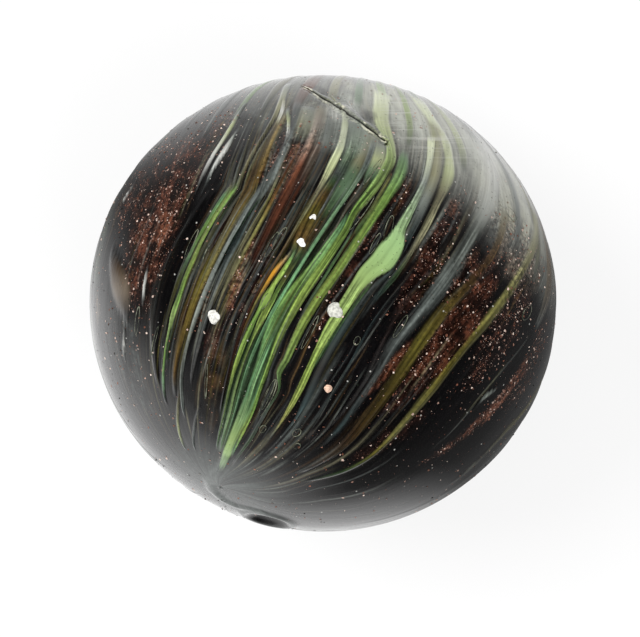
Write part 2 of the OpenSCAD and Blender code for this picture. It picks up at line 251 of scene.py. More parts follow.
    ("pale_j2", 0, {88: KHAKI, 94: BEIGE, 104: SAND}, (88, 33, 0.6), (94, 33.8, 0.7), (104, 34.6, 0.6)),
    # The next five strands, pale streaks and combs, are painted highlights along ridges of the skin
    ("streak_1", 0, {102: SILVER, 105: CHALK, 109: CREAM, 113: SILVER}, (102, 29.4, 0.6), (105, 30.6, 0.9),
     (109, 33, 1), (113, 36, 1)),
    ("streak_2", 0, {107: BEIGE, 112: CHALK, 117: BEIGE}, (107, 35.2, 1), (112, 37.2, 1.2), (117, 40.2, 1)),
    ("comb_1", 0, {86: STEEL, 93: CHALK, 101: SILVER}, (86, 43.9, 0.6), (91, 44, 1), (95, 44, 1.5),
     (101, 44.5, 0.6)),
    ("comb_2", 0, {83: SLATE, 93: CHALK, 103: CREAM, 108: SILVER, 113: STEEL}, (83, 45.7, 0.5),
     (88, 46, 0.9), (93, 46.3, 1), (98, 46.5, 1), (103, 47.4, 1), (108, 49, 0.9), (113, 51, 0.6)),
    ("short_streak", 0, {51: STEEL, 55: SLATE}, (51, 51.3, 0.6), (55, 50.4, 0.5)),
    ("gap_dark", 0.6, {34: BLACK}, (34, 55, 3), (44, 52.4, 4.4), (52, 50, 6.4), (57, 48.8, 6.6),
     (64, 46.4, 6), (70, 44.2, 5), (76, 42.2, 3.6), (82, 41, 2.4)),
    ("patch_l", 0.35, {51: SMOKE, 57: DUST, 63: UMBER, 67: SMOKE}, (50, 66, 1.5), (54, 67, 7),
     (58, 68.5, 9), (62, 71, 7), (68, 75, 2)),
    # The four arcs are painted glints
    ("arc_1", 0, {53: SLATE, 57: CHALK, 62: SLATE}, (53, 56.8, 0.3), (56, 56.6, 0.7), (59, 56.1, 0.8),
     (62, 55.5, 0.3)),
    ("arc_2", 0, {41: SLATE, 44: CHALK, 47.5: SLATE}, (41, 73.6, 0.4), (44, 71, 0.9), (47.5, 68, 0.5)),
    ("arc_3", 0, {80: SLATE, 83: CHALK, 86: SLATE}, (80, 77, 0.4), (83, 75.6, 1.2), (86, 73, 0.4)),
    ("arc_4", 0, {73: SLATE, 76: SILVER, 79: SLATE}, (73, -55.5, 0.4), (76, -56, 1.1), (79, -57.5, 0.4)),
)
# Broad soft strands under the others, near the fold, written the same way
SOFT_STRANDS = (
    ("soft_1", 0.5, {86: FERN, 94: SAGE, 100: SAGE, 104: BEIGE, 116: BEIGE}, (86, 9.8, 2), (93, 9.7, 3.6),
     (98, 10, 4.8), (103, 10.6, 5.6), (109, 11, 6), (116, 12, 6)),
    ("soft_2", 0.5, {98: FERN, 103: SAGE, 107: CREAM, 113: SILVER}, (98, 4.6, 1.6), (103, 5.2, 3.4),
     (107, 5.6, 4.4), (113, 6, 4.4)),
    ("soft_3", 0.5, {103: SLATE, 109: BEIGE, 116: SILVER}, (103, 26.4, 3), (109, 27.8, 5), (116, 30, 6)),
)
# Strands that the mesh's columns follow, and the angle from the pole that gives each its base meridian
GUIDES = ("olive_a", "olive_b", "slate_c", "lime_d", "green_e", "main_lime", "g1", "edge_k", "rust",
          "silver_h", "green_i", "comb_2")
BASE_COLAT = 80.0

# Soft fields of colour and copper flakes under the strands:
# meridian, half width, angle from the pole, half height, colour, cover, share of flakes
FIELDS = (
    (-34, 5.5, 80, 26, RUST, 0.7, 0.6),
    (-47, 6, 92, 20, EMBER, 0.5, 0.8),
    (-44, 4, 50, 12, EMBER, 0.4, 0.3),
    (-25.6, 1.6, 62, 9, BRICK, 0.9, 0.5),
    (-28, 2.4, 92, 10, RUST, 0.6, 1.0),
    (-18, 3.4, 92, 20, EMBER, 0.7, 0.5),
    (-17, 1.8, 106.5, 2.6, BRICK, 0.8, 0.3),
    (-20.8, 1.0, 92, 12, UMBER, 0.7, 0.8),
    (-2.2, 1.4, 76, 20, EMBER, 0.8, 0.5),
    (-3.5, 2.4, 100, 8, EMBER, 0.8, 0.4),
    (-62, 2.2, 78, 24, BRICK, 0.5, 1.0),
    (-66, 5, 92, 14, EMBER, 0.5, 0.6),
    (-41, 14, 112, 11, DUST, 0.6, 0.5),
    (-40, 20, 126, 12, BEIGE, 0.5, 0.0),
    (19.5, 2.6, 64, 14, EMBER, 0.6, 0.3),
    (24.4, 2.0, 64, 12, BRICK, 0.7, 0.5),
    (24, 5.2, 34, 13, UMBER, 0.6, 0.1),
    (27.5, 3, 46, 9, EMBER, 0.5, 0.2),
    (24.4, 2.4, 98, 14, BRICK, 0.8, 0.7),
    (29.6, 2.2, 100, 11, BRICK, 0.6, 0.8),
    (30.5, 5, 112, 8, SAND, 0.5, 0.5),
    (33, 2.2, 54, 12, UMBER, 0.5, 0.3),
    (57, 11, 78, 28, RUST, 0.52, 0.6),
    (53, 3.2, 72, 6, BRICK, 0.8, 0.6),
    (62, 6, 64, 9, RUST, 0.6, 0.5),
    (68, 4, 57, 6, DUST, 0.8, 0.1),
    (89, 5, 57, 4, DUST, 0.6, 0.1),
    (88, 6, 76, 16, FERN, 0.5, 0.1),
    (72, 9, 88, 16, EMBER, 0.7, 0.6),
    (56, 9, 104, 10, EMBER, 0.5, 0.4),
    (45, 7, 108, 8, SLATE, 0.4, 0.1),
    (72, 12, 40, 18, STEEL, 0.2, 0.2),
    (12, 20, 124, 9, SILVER, 0.75, 0.1),
    (10, 30, 138, 10, BEIGE, 0.7, 0.1),
    (6, 3, 107, 6, SAND, 0.6, 0.2),
    (-20, 7, 30, 10, SMOKE, 0.4, 0.15),
)
# Soft fields over the strands, written the same way
OVER_FIELDS = (
    (18, 13, 112, 9, SILVER, 0.5, 0.1),
    # Dark patch beyond the fold: painted shade
    (15.5, 3.2, 121, 3, SMOKE, 0.6, 0.1),
    (22, 6, 120, 6, CHALK, 0.4, 0.1),
    (-24, 3, 133, 2.4, CHALK, 0.9, 0.0),
)
# Milky glass around the pole: the angle at which it ends, and the length of its fade
MILK_COLAT = 22.0
MILK_FADE = 17.0
# Milky glass over the far ends of the strands, partly painted reflection: where it starts, its rise, its
# cover under and over them
VEIL_COLAT = 103.0
VEIL_RISE = 32.0
VEIL_UNDER = 0.85
VEIL_OVER = 0.15
# Fine level pale streaks over the far ends of the strands: the place of their middle
STREAKS_LON = -1.0
STREAKS_COLAT = 131.0

# Fine faint threads between the strands: how many, the range of their first angle from the pole,
# the middle and spread of their meridians, and their widest
HAIRS = ((300, 22, 112, 10, 26, 0.34), (90, 4, 18, -12, 34, 0.7), (160, 34, 104, 22, 12, 0.2),
         (170, 100, 150, 0, 60, 1.6), (150, 16, 120, 180, 44, 1.6))
# Finer ones over the strands, written the same way
OVER_HAIRS = ((80, 30, 92, 32, 4.5, 0.2), (50, 34, 96, 8, 8, 0.15))
HAIR_SHADES = (SMOKE, SLATE, STEEL, UMBER, BRONZE, OLIVE, SAND, SILVER)

# Air bubbles just under the skin: meridian, angle from the pole, half sizes both ways, lean
BUBBLES = (
    (-4.2, 30, 1.4, 1.3, 0), (0.8, 38.5, 1.5, 5.6, 0.5), (1.2, 39.5, 0.8, 4.6, 0.5),
    (-0.8, 58.6, 0.55, 4.6, 0.2), (14.3, 60.8, 0.9, 2.2, -0.3), (-13.2, 63, 0.8, 1.1, 0.1),
    (-22.5, 31.5, 1.4, 1, 0), (-17.5, 34.6, 1.5, 1.3, 0), (17.6, 76, 0.8, 3.2, -0.3),
    (18.9, 74, 0.7, 3.4, -0.2), (-4, 85.6, 0.55, 3, 0.1), (-5.1, 91, 0.8, 3.4, 0.6),
    (5.2, 103, 0.4, 4.8, -0.3), (35.4, 67, 0.5, 2.2, -0.3), (41, 68.5, 0.7, 4, -0.8),
    (2.4, 91, 0.5, 5.6, -0.6), (-20.6, 72, 0.7, 3.2, 0.2), (-36, 118.6, 2.4, 1.6, 0),
    (-52, 99, 1.4, 2.4, -0.6), (52, 44, 0.6, 3.6, -2.4), (60, 49, 0.9, 3.4, -1.6),
    (27.6, 36, 0.5, 4.6, 0.2),
)
BUBBLE_RIM = 0.014
RIM_POINTS = 28
RIM_SIDES = 6

# Stones caught in the glass: meridian, angle from the pole, share of SPECK_D, second lobe, colour
STONES = (
    (-3.7, 66.4, 0.9, 0.8, (206, 206, 196)), (28.5, 52.7, 0.78, 0.5, (226, 224, 216)),
    (12.3, 77.3, 0.56, 0.6, (250, 250, 246)), (-15, 49.1, 0.5, 0.0, (226, 190, 166)),
    (12.5, 84.3, 0.5, 0.5, (232, 230, 224)),
)
STONE_FLATNESS = 0.46

# Copper flakes: how many, their corners, the least radius and the most that is added to it
FLAKES = 9500
FLAKE_SIDES = 5
FLAKE_R = 0.011
FLAKE_R_MORE = 0.055

# Strands out of the front's sight, given one by one: base meridian, width, ends, colour
FAR_STRANDS = (
    (-160, 8, 14, 162, LIME), (-153, 4, 20, 158, FERN), (-171, 3.6, 26, 160, STEEL),
    (-134, 10, 50, 128, RUST), (-121, 3.6, 34, 156, OLIVE), (-108, 6, 24, 158, LEAF),
    (-101, 3.4, 30, 150, SAGE), (-94, 2.6, 38, 150, STEEL), (-85, 3.6, 40, 160, SLATE),
    (-78, 3, 60, 158, OLIVE), (-66, 5, 104, 166, SLATE), (-55, 6, 100, 168, BRONZE),
    (-46, 3.6, 108, 172, KHAKI), (-36, 4, 112, 168, STEEL), (-27, 5, 118, 172, SILVER),
    (-17, 4.4, 120, 170, CREAM), (-9, 3.6, 118, 168, LEAF), (-2, 3, 116, 172, LIME),
    (5, 4.4, 120, 174, SPRING), (12, 3.4, 118, 168, SAGE), (19, 4, 116, 172, BEIGE),
    (27, 5, 112, 166, BRICK), (36, 4, 112, 172, OLIVE), (43, 3, 106, 168, LEAF),
    (50, 3.6, 100, 170, SLATE), (60, 4.4, 104, 164, STEEL), (70, 3, 96, 160, FERN),
    (80, 4, 90, 164, UMBER), (90, 3, 60, 156, SLATE), (97, 3, 30, 150, SAGE), (106, 7, 20, 160, LEAF),
    (114, 3.4, 24, 156, MINT), (121, 2.8, 30, 160, STEEL), (130, 9, 46, 126, RUST),
    (141, 4, 26, 158, OLIVE), (151, 6, 18, 160, JADE), (158, 3, 24, 156, LIME), (168, 3, 30, 160, SILVER),
    (176, 5, 26, 154, SLATE),
)
FAR_RELIEF = 0.35
FAR_HAZE = 0.2

# Columns and rows of the mesh: where each stretch starts, and how many steps it has
COLUMNS = ((-180, 90), (-72, 140), (-18, 262), (42, 92), (76, 84), (180, 0))
ROWS = ((0.4, 10), (8, 32), (30, 58), (106, 24), (130, 18), (179, 0))

# Values that the materials share
GLOSS = {"Specular IOR Level": 0.1, "Coat Weight": 1.0, "Coat Roughness": 0.04, "Coat IOR": 1.65}
# Specks in the glass: spacing and size as a share of it, share of places, cover, linear colour
SPECKS = (
    (0.3, 0.17, 0.5, 0.6, (0.01, 0.014, 0.008, 1)),
    (0.15, 0.24, 0.6, 0.4, (0.01, 0.014, 0.008, 1)),
    (0.5, 0.09, 0.5, 0.7, (0.5, 0.5, 0.46, 1)),
)


def linear(colour):
    """Scene-linear colour of a screen colour written as 0 to 255."""
    c = np.asarray(colour, float) / 255
    return np.where(c <= 0.04045, c / 12.92, ((c + 0.055) / 1.055) ** 2.4)


def rise(x):
    """Smooth step from 0 to 1 while x goes from 0 to 1."""
    x = np.clip(x, 0, 1)
    return x * x * (3 - 2 * x)


def unit(vectors):
    return vectors / np.linalg.norm(vectors, axis=-1, keepdims=True)


def smooth(at, values, x):
    """Smooth curve through the values at the points at, held beyond both ends."""
    at, values = np.asarray(at, float), np.asarray(values, float)
    slopes = np.gradient(values, at)
    i = np.clip(np.searchsorted(at, x) - 1, 0, len(at) - 2)
    step = at[i + 1] - at[i]
    t = np.clip((x - at[i]) / step, 0, 1)
    start, end = values[i], values[i + 1]
    bent = (start * (1 + 2 * t) + step * slopes[i] * t) * (1 - t) ** 2
    return bent + (end * (3 - 2 * t) - step * slopes[i + 1] * (1 - t)) * t ** 2


def lumps(x, y, seed):
    """Smooth random field from 0 to 1 with one lump a unit, which repeats every 256."""
    table = np.random.default_rng(seed).random((256, 256))
    xi, yi = np.floor(x).astype(int), np.floor(y).astype(int)
    tx, ty = rise(x - xi), rise(y - yi)
    near = table[xi % 256, yi % 256] * (1 - tx) + table[(xi + 1) % 256, yi % 256] * tx
    far = table[xi % 256, (yi + 1) % 256] * (1 - tx) + table[(xi + 1) % 256, (yi + 1) % 256] * tx
    return near * (1 - ty) + far * ty


def stretch(steps):
    """Positions that share each stretch into its number of steps, the last one included."""
    parts = [np.linspace(a[0], b[0], a[1], endpoint=False) for a, b in zip(steps, steps[1:])]
    return np.concatenate(parts + [[steps[-1][0]]])


# Place on the ball

def pole_frame():
    """Unit vectors to the pontil pole, to meridian 0 and to meridian 90."""
    az, el = math.radians(POLE_AZIMUTH), math.radians(POLE_ELEVATION)
    level, up = np.array((math.cos(az), math.sin(az), 0)), np.array((0, 0, 1))
    pole = math.cos(el) * level + math.sin(el) * up
    front = math.cos(el) * up - math.sin(el) * level
    return pole, front, np.cross(pole, front)


POLE, FRONT, SIDE = pole_frame()


def direction(lon, colat):
    """Unit vectors towards places on the ball."""
    lon, colat = np.broadcast_arrays(np.radians(lon), np.radians(colat))
    around = np.cos(lon)[..., None] * FRONT + np.sin(lon)[..., None] * SIDE
    return np.cos(colat)[..., None] * POLE + np.sin(colat)[..., None] * around


def skin(v):
    """Distance from the centre to the skin along unit vectors: the oval's side arc, or its end arc."""
    half_turn = math.sqrt(0.5)
    shift = (BALL_W - BALL_H) / 2 * (1 + half_turn)
    side_r, end_r = BALL_W / 2 - shift, BALL_H / 2 + shift
    out, up = np.hypot(v[..., 0], v[..., 2]), np.abs(v[..., 1])
    side = out * shift + np.sqrt((out * shift) ** 2 - shift ** 2 + side_r ** 2)
    end = -up * shift + np.sqrt((up * shift) ** 2 - shift ** 2 + end_r ** 2)
    return np.where(up * (shift + side_r * half_turn) > out * side_r * half_turn, end, side)


def on_skin(lon, colat, height=0.0):
    """Points at a height above the skin."""
    v = direction(lon, colat)
    return v * (skin(v) + height)[..., None]


def twist(base, colat):
    """The twist law: the meridian that column base has reached at angle colat."""
    near = np.maximum(0, 75 - colat) / 60
    far = np.maximum(0, colat - 85) / 70
    crowd = np.degrees(BUNCHING) * (near ** 1.1 + 0.9 * far) * np.sin(np.radians(base))
    return base + crowd + NEAR_SWIRL * near ** 12 + FAR_TWIST * far ** 3


def meridians(base, colat):
    """Meridian of each column on each row: the twist law, bent to the guides and free beyond them."""
    reach = 15.0
    courses = {name: places for name, _, _, *places in STRANDS}
    homes, bends = [-110.0], [np.zeros_like(colat)]
    for name in GUIDES:
        at, lons, _ = zip(*courses[name])
        home = float(smooth(at, lons, BASE_COLAT))
        inside = np.clip(colat, at[0], at[-1])
        bend = smooth(at, lons, inside) - twist(home, inside)
        homes.append(home)
        bends.append(bend * np.exp(-((colat - inside) / reach) ** 2))
    homes.append(120.0)
    bends.append(np.zeros_like(colat))
    bends = np.array(bends)
    grid = twist(base[None, :], colat[:, None])
    for row in range(len(colat)):
        grid[row] += np.interp(base, homes, bends[:, row])
    return grid


# Colour and relief of the skin

def wander(colat, seed, size):
    """Slow wobble along a strand, within size either way."""
    rng = np.random.default_rng(seed)
    paces, turns = rng.uniform(0.04, 0.28, 4), rng.uniform(0, 7, 4)
    return size * np.sin(colat[:, None] * paces + turns).mean(axis=1)


def far_strand(base, width, start, end, colour):
    """Shades and places of a strand that keeps to the twist law, thinner and duller at its ends."""
    colats = np.linspace(start, end, 7)
    shares = np.sin(np.linspace(0.12, 0.88, 7) * math.pi)
    places = [(c, float(twist(base, c)), width * s) for c, s in zip(colats, shares)]
    return {start: SLATE, start + (end - start) * 0.3: colour, end: SLATE}, places


def shade_along(shades, colat):
    """Colour along a strand, blended from each named shade to the next."""
    tones = linear(list(shades.values()))
    return np.stack([np.interp(colat, list(shades), tones[:, k]) for k in range(3)], axis=-1)[:, None, :]


def fold_line(count):
    """Points along the fold, the direction across it at each, away from the pole, and its taper."""
    shares = np.linspace(0, 1, count)
    spots = FOLD_FROM + (FOLD_TO - FOLD_FROM) * shares[:, None]
    bow = FOLD_BOW * np.sin(shares * math.pi) + wander(shares * 90, 3, 0.35)
    points = on_skin(spots[:, 0], spots[:, 1] + bow)
    across = unit(np.cross(np.gradient(points, axis=0), points))
    across *= np.sign(across @ -POLE)[:, None]
    taper = (0.35 + 0.65 * np.sqrt(np.sin(shares * math.pi))) * (1 + wander(shares * 160, 5, 0.35))
    return points, across, taper * (1 - 0.5 * rise((shares - 0.4) / 0.4))


class Surface:
    """Colour, share of flakes, milkiness and painted reflection, and relief on the grid of rows and columns.
    """

    def __init__(self, base, colat, lon):
        self.base, self.colat, self.lon = base, colat, lon
        self.rows = colat[:, None] + 0 * lon
        self.columns = base[None, :] + 0 * lon
        self.tint = np.broadcast_to(linear(BLACK), lon.shape + (3,)).copy()
        self.flakes = np.full(lon.shape, 0.05)
        self.relief = np.zeros(lon.shape)
        self.milk_and_reflection = np.zeros(lon.shape)
        self.grain = lumps(self.columns * 1.4, self.rows * 0.1, 4)
        broad = lumps(self.columns * 0.4, self.rows * 0.3, 3)
        patches = 0.6 * broad + 0.4 * lumps(self.columns * 1.3, self.rows * 0.8, 5)
        self.mottle = rise((patches - 0.25) / 0.5)

    def lay(self, colour, cover):
        self.tint += (colour - self.tint) * cover[..., None]

    def lay_field(self, lon, width, colat, height, colour, cover, share, even=0.0):
        """A soft patch, mottled unless it is even."""
        away = ((self.lon - lon) / width) ** 2 + ((self.rows - colat) / height) ** 2
        level = 0.12 + 1.2 * self.mottle ** 1.5 * (0.5 + 0.8 * self.grain)
        level += (0.9 - level) * even
        self.lay(linear(colour) * level[..., None], rise(1.25 - away) * cover)
        self.flakes = np.maximum(self.flakes, share * rise(1.4 - away) * (0.3 + self.mottle))

    def lay_milk(self):
        """Milky glass around the pole, drawn out in threads."""
        streaks = lumps(self.columns * 0.5, self.rows * 0.05, 8)
        cover = rise((MILK_COLAT - self.rows) / MILK_FADE) * (0.1 + 0.7 * streaks)
        self.lay(linear(STEEL), cover * 0.8)

    def lay_veil(self, most):
        """Milky glass and painted reflection on the strands' far ends, thinner to the left and beyond the
        fold.
        """
        streaks = 0.6 * lumps(self.columns * 0.7, self.rows * 0.05, 9) + 0.4 * self.mottle
        thin = 0.3 + 0.7 * rise((44 - self.lon) / 40)
        thin = thin * rise((self.columns + 84) / 34) * rise((78 - self.columns) / 30)
        thin *= rise((160 - self.rows) / 26)
        points, across, taper = fold_line(FOLD_STEPS)
        beyond = self.lay_rib(points + across * 0.4, 0.8 * taper, 0)
        cover = rise((self.rows - VEIL_COLAT) / VEIL_RISE) * thin * (0.5 + 0.5 * streaks)
        cover *= most * (1 - 0.6 * rise(1.5 - beyond))
        self.lay(linear(VEIL), cover)
        self.milk_and_reflection = np.maximum(self.milk_and_reflection, cover)

    def lay_hairs(self, count, first, last, middle, spread, widest, rng):
        """Fine faint threads that follow the columns."""
        for _ in range(count):
            home, start = rng.normal(middle, spread), rng.uniform(first, last)
            length, width = rng.uniform(8, 44), rng.uniform(0.12, widest)
            strength, seed = rng.uniform(0.08, 0.55), int(rng.integers(1 << 30))
            shade = linear(HAIR_SHADES[rng.integers(len(HAIR_SHADES))])
            rows = np.flatnonzero((self.colat > start) & (self.colat < start + length))
            apart = (self.base - home + 180) % 360 - 180
            columns = np.flatnonzero(np.abs(apart) < 1 + 2 * width)
            if len(rows) < 2 or len(columns) < 2:
                continue
            along = self.colat[rows]
            away = (apart[columns][None, :] - wander(along, seed, 0.8)[:, None]) / width
            ends = np.sin((along - start) / length * math.pi)
            cover = np.exp(-away ** 2) * ends[:, None] * strength
            block = np.ix_(rows, columns)
            self.tint[block] += (shade - self.tint[block]) * cover[..., None]

    def lay_strand(self, seed, haze, shades, places, relief=STRAND_RELIEF):
        """One strand: its body with lines drawn along it, a paler rim as painted highlight, a dark outline
        and its crown.
        """
        at, mids, widths = zip(*places)
        mid = (smooth(at, mids, self.colat) + wander(self.colat, seed, 0.2))[:, None]
        half = np.maximum(smooth(at, widths, self.colat), 0.2)[:, None] / 2
        side = self.lon - mid
        right, left = (wander(self.colat, seed + k, 0.3)[:, None] for k in (1, 2))
        away = np.abs(side) / (half * (1 + np.where(side > 0, right, left)))
        fade = min(4.5, (at[-1] - at[0]) / 5)
        ends = rise((self.colat - at[0]) / fade + 0.5) * rise((at[-1] - self.colat) / fade + 0.5)
        ends = ends[:, None]
        soft = np.clip(0.15 / half + 0.8 * haze, 0.1, 0.95)
        cover = rise((1 + soft - away) / (2 * soft)) * ends * (1 - 0.3 * haze)
        bulge = rise((half / np.median(half) - 1.3) / 0.8)
        calm = np.maximum(0.95 * bulge, 0.8 * rise((self.colat[:, None] - VEIL_COLAT) / 14))
        across = side / half * max(1.0, max(widths) * 0.7)
        lines = rise((lumps(across + 7.3 * seed, self.rows * 0.04, seed) - 0.2) / 0.6)
        fine = lumps(side * 2.4 + 3.1 * seed, self.rows * 0.08, seed + 3)
        broken = 0.3 + lumps(self.rows * 0.3, side * 0, seed + 4)
        # The paler rim along the edges is a painted highlight
        rim_highlight = np.exp(-((away - 0.86) / 0.2) ** 2) * rise((half - 0.3) / 0.5) * broken * (1 - haze)
        drawn = (0.3 + 0.78 * lines) * (0.72 + 0.56 * fine)
        level = drawn + (0.9 - drawn) * calm + 0.5 * rim_highlight * (1 - calm)
        outline = np.exp(-((away - 1 - 1.3 * soft) / (0.9 * soft)) ** 2) * ends * 0.5 * (1 - haze)
        self.tint *= 1 - outline[..., None]
        self.lay(shade_along(shades, self.colat) * level[..., None], cover)
        self.flakes *= 1 - 0.75 * cover * (1 - 0.5 * haze)
        self.milk_and_reflection = np.maximum(self.milk_and_reflection * (1 - cover), cover * calm)
        crown = np.sqrt(np.clip(1 - away ** 2 * 0.8, 0, 1)) * relief * (0.75 + 0.15 * lines)
        self.relief += (crown - self.relief) * cover

    def places(self):
        return on_skin(self.lon, self.rows)

    def press_pit(self):
        """Dish that the broken rod left, with the rounded lip drawn up around it."""
        centre = on_skin(PIT_LON, PIT_COLAT)
        away = np.linalg.norm(self.places() - centre, axis=-1) / (PIT_D / 2)
        dish = -PIT_DEPTH * np.clip(1 - away ** 2, 0, 1)
        lip = LIP_H * np.exp(-((away - 1.15) / 0.22) ** 2)
        self.relief = np.where(away < 2, self.relief * rise(away - 0.9) + dish + lip, self.relief)
        # The dish is painted black as shade, and the pale ring on the lip is a painted highlight
        self.lay(linear(BLACK), rise((1.15 - away) / 0.3))
        self.lay(linear(STEEL), np.exp(-((away - 1.2) / 0.16) ** 2) * 0.4)

    def lay_rib(self, points, widths, height):
        """A rounded rib along points, as wide as given at each. Returns how far each place is across it."""
        places = self.places()
        best = np.full(self.relief.shape, 9.0)
        for a, b, wide_a, wide_b in zip(points, points[1:], widths, widths[1:]):
            along = b - a
            t = np.clip(((places - a) @ along) / (along @ along), 0, 1)
            gap = np.linalg.norm(places - (a + t[..., None] * along), axis=-1)
            best = np.minimum(best, gap / ((wide_a + (wide_b - wide_a) * t) / 2))
        self.relief = np.maximum(self.relief, height * rise((1.25 - best) / 1.1))
        return best

    def lay_tail(self):
        """The strands' gathered end, drawn off and laid down beside the pit."""
        lons, colats, widths = np.array(TAIL).T
        beside = self.lay_rib(on_skin(lons, colats), widths, 0.7 * TAIL_H)
        self.lay(linear(STEEL) * (0.5 + 0.6 * self.grain)[..., None], rise((1.6 - beside) / 1.3) * 0.5)

    def open_fold(self):
        """Sinks the skin under the fold, which is a strip of its own, and keeps the whole relief for it."""
        points, _, taper = fold_line(FOLD_STEPS)
        near = self.lay_rib(points, FOLD_W * 2.4 * taper, 0)
        self.whole = self.relief.copy()
        self.relief -= (self.relief + FOLD_DEPTH) * rise(1.4 - near)


def paint(base, colat):
    """The whole skin, from the ground up."""
    surface = Surface(base, colat, meridians(base, colat))
    rng = np.random.default_rng(21)
    for field in FIELDS:
        surface.lay_field(*field)
    for hairs in HAIRS:
        surface.lay_hairs(*hairs, rng)
    surface.lay_milk()
    surface.lay_veil(VEIL_UNDER)
    for number, row in enumerate(FAR_STRANDS):
        surface.lay_strand(500 + 7 * number, FAR_HAZE, *far_strand(*row), STRAND_RELIEF * FAR_RELIEF)
    for number, (_, haze, shades, *places) in enumerate(SOFT_STRANDS):
        surface.lay_strand(900 + 5 * number, haze, shades, places)
    for number, (_, haze, shades, *places) in enumerate(STRANDS):
        surface.lay_strand(100 + 5 * number, haze, shades, places)
    for hairs in OVER_HAIRS:
        surface.lay_hairs(*hairs, rng)
    for field in OVER_FIELDS:
        surface.lay_field(*field, even=0.7)
    surface.lay_veil(VEIL_OVER)
    surface.lay_tail()
    surface.open_fold()
    surface.press_pit()
    return surface


# Meshes

def inside_box(points):
    """Points in millimetres, held inside the box of the part."""
    low, high = np.array(CAD_BOX) / MM
    return np.clip(points, low + 0.0005, high - 0.0005)


def mesh_object(name, points, faces, material):
    """An object from points in millimetres."""
    mesh = bpy.data.meshes.new(name)
    mesh.from_pydata([tuple(p) for p in np.asarray(points) * MM], [], [tuple(f) for f in faces])
    mesh.polygons.foreach_set("use_smooth", [True] * len(mesh.polygons))
    mesh.materials.append(material)
    obj = bpy.data.objects.new(name, mesh)
    bpy.context.scene.collection.objects.link(obj)
    return obj


def paint_points(obj, colours):
    """Stores a linear colour for each point of a mesh."""
    rgba = np.hstack([colours, np.ones((len(colours), 1))])
    layer = obj.data.color_attributes.new("Tint", "FLOAT_COLOR", "POINT")
    layer.data.foreach_set("color", rgba.reshape(-1))


def quads(rows, columns, closed_rows=False, closed_columns=False):
    """Faces of a grid of points. Where it is closed, the last row or column joins the first."""
    row, column = np.meshgrid(np.arange(rows - 1 + closed_rows), np.arange(columns - 1 + closed_columns),
                              indexing="ij")
    below, right = (row + 1) % rows * columns, (column + 1) % columns
    row = row * columns
    return np.stack([row + column, row + right, below + right, below + column], axis=-1).reshape(-1, 4)


def ball_faces(rows, columns):
    """Quads of a grid that closes around its columns, and a fan of triangles at both ends."""
    near, far = rows * columns, rows * columns + 1
    last = (rows - 1) * columns
    fans = [(near, k, (k + 1) % columns) for k in range(columns)]
    fans += [(far, last + (k + 1) % columns, last + k) for k in range(columns)]
    return list(quads(rows, columns, closed_columns=True)[:, (0, 3, 2, 1)]) + fans


def lay_uv(mesh, name, u, v):
    """A UV map from the columns' u and the rows' v, unbroken across the last column."""
    columns = len(u)
    ends = {len(v) * columns: 0.0, len(v) * columns + 1: 1.0}
    flat = []
    for face in mesh.polygons:
        ids = [i % columns for i in face.vertices if i not in ends]
        wraps = 0 in ids and columns - 1 in ids
        middle = u[max(ids)] if wraps else sum(u[i] for i in ids) / len(ids)
        for i in face.vertices:
            if i in ends:
                flat += [middle, ends[i]]
            else:
                flat += [1.0 if wraps and i % columns == 0 else u[i % columns], v[i // columns]]
    mesh.uv_layers.new(name=name).data.foreach_set("uv", flat)


def with_poles(values):
    """Values of the grid in one list, followed by those of both poles."""
    return np.concatenate([values.reshape(-1), [values[0].mean(), values[-1].mean()]])


def build_ball(material):
    base, colat = stretch(COLUMNS)[:-1], stretch(ROWS)
    surface = paint(base, colat)
    points = on_skin(surface.lon, surface.rows, surface.relief).reshape(-1, 3)
    points = np.vstack([points, POLE * (skin(POLE) + TAIL_H / 2), -POLE * skin(-POLE)])
    ball = mesh_object("marble_glass", inside_box(points), ball_faces(len(colat), len(base)), material)
    paint_points(ball, np.stack([with_poles(surface.tint[..., k]) for k in range(3)], axis=-1))
    for name, values in (("Flakes", surface.flakes), ("MilkAndReflection", surface.milk_and_reflection)):
        ball.data.attributes.new(name, "FLOAT", "POINT").data.foreach_set("value", with_poles(values))
    lay_uv(ball.data, "OFBake", np.arange(len(base)) / len(base), colat / 180)
    lay_uv(ball.data, "Strand", (base + 180) / 360, colat / 180)
    return ball, surface


def build_fold(material, surface):
    """The fold: a slit between two glass layers, painted as shade, the upper one proud with painted glints.
    """
    points, across, taper = fold_line(FOLD_POINTS)
    offset, height, painted_shading, glint_share = np.array(FOLD_PROFILE).T
    spots = points[:, None] + across[:, None] * (offset * taper[:, None])[..., None]
    shape = spots.shape[:2]
    out = unit(spots)
    places = surface.places()
    close = np.linalg.norm(places - points[len(points) // 2], axis=-1) < FOLD_REACH
    gaps = np.linalg.norm(out.reshape(-1, 1, 3) * MEAN_R - places[close][None], axis=-1)
    nearest = gaps.argmin(axis=1)
    heights = surface.whole[close][nearest].reshape(shape) + height * taper[:, None]
    places = (out * (skin(out) + heights)[..., None]).reshape(-1, 3)
    fold = mesh_object("fold", places, quads(*shape), material)
    share = np.linspace(0, 1, shape[0])[:, None] + 0 * heights
    # The dark slit is painted shade; the bright spots and the paler crest are painted glints
    glints = rise((lumps(share * 26, offset * 8 + 0 * share, 17) - 0.66) / 0.16) * glint_share
    tint = surface.tint[close][nearest].reshape(shape + (3,)) * painted_shading[None, :, None]
    tint += (linear(CREAM) - tint) * (0.14 * glint_share + 0 * share)[..., None]
    tint += (linear(FOLD_GLINT) - tint) * glints[..., None]
    paint_points(fold, tint.reshape(-1, 3))
    return fold


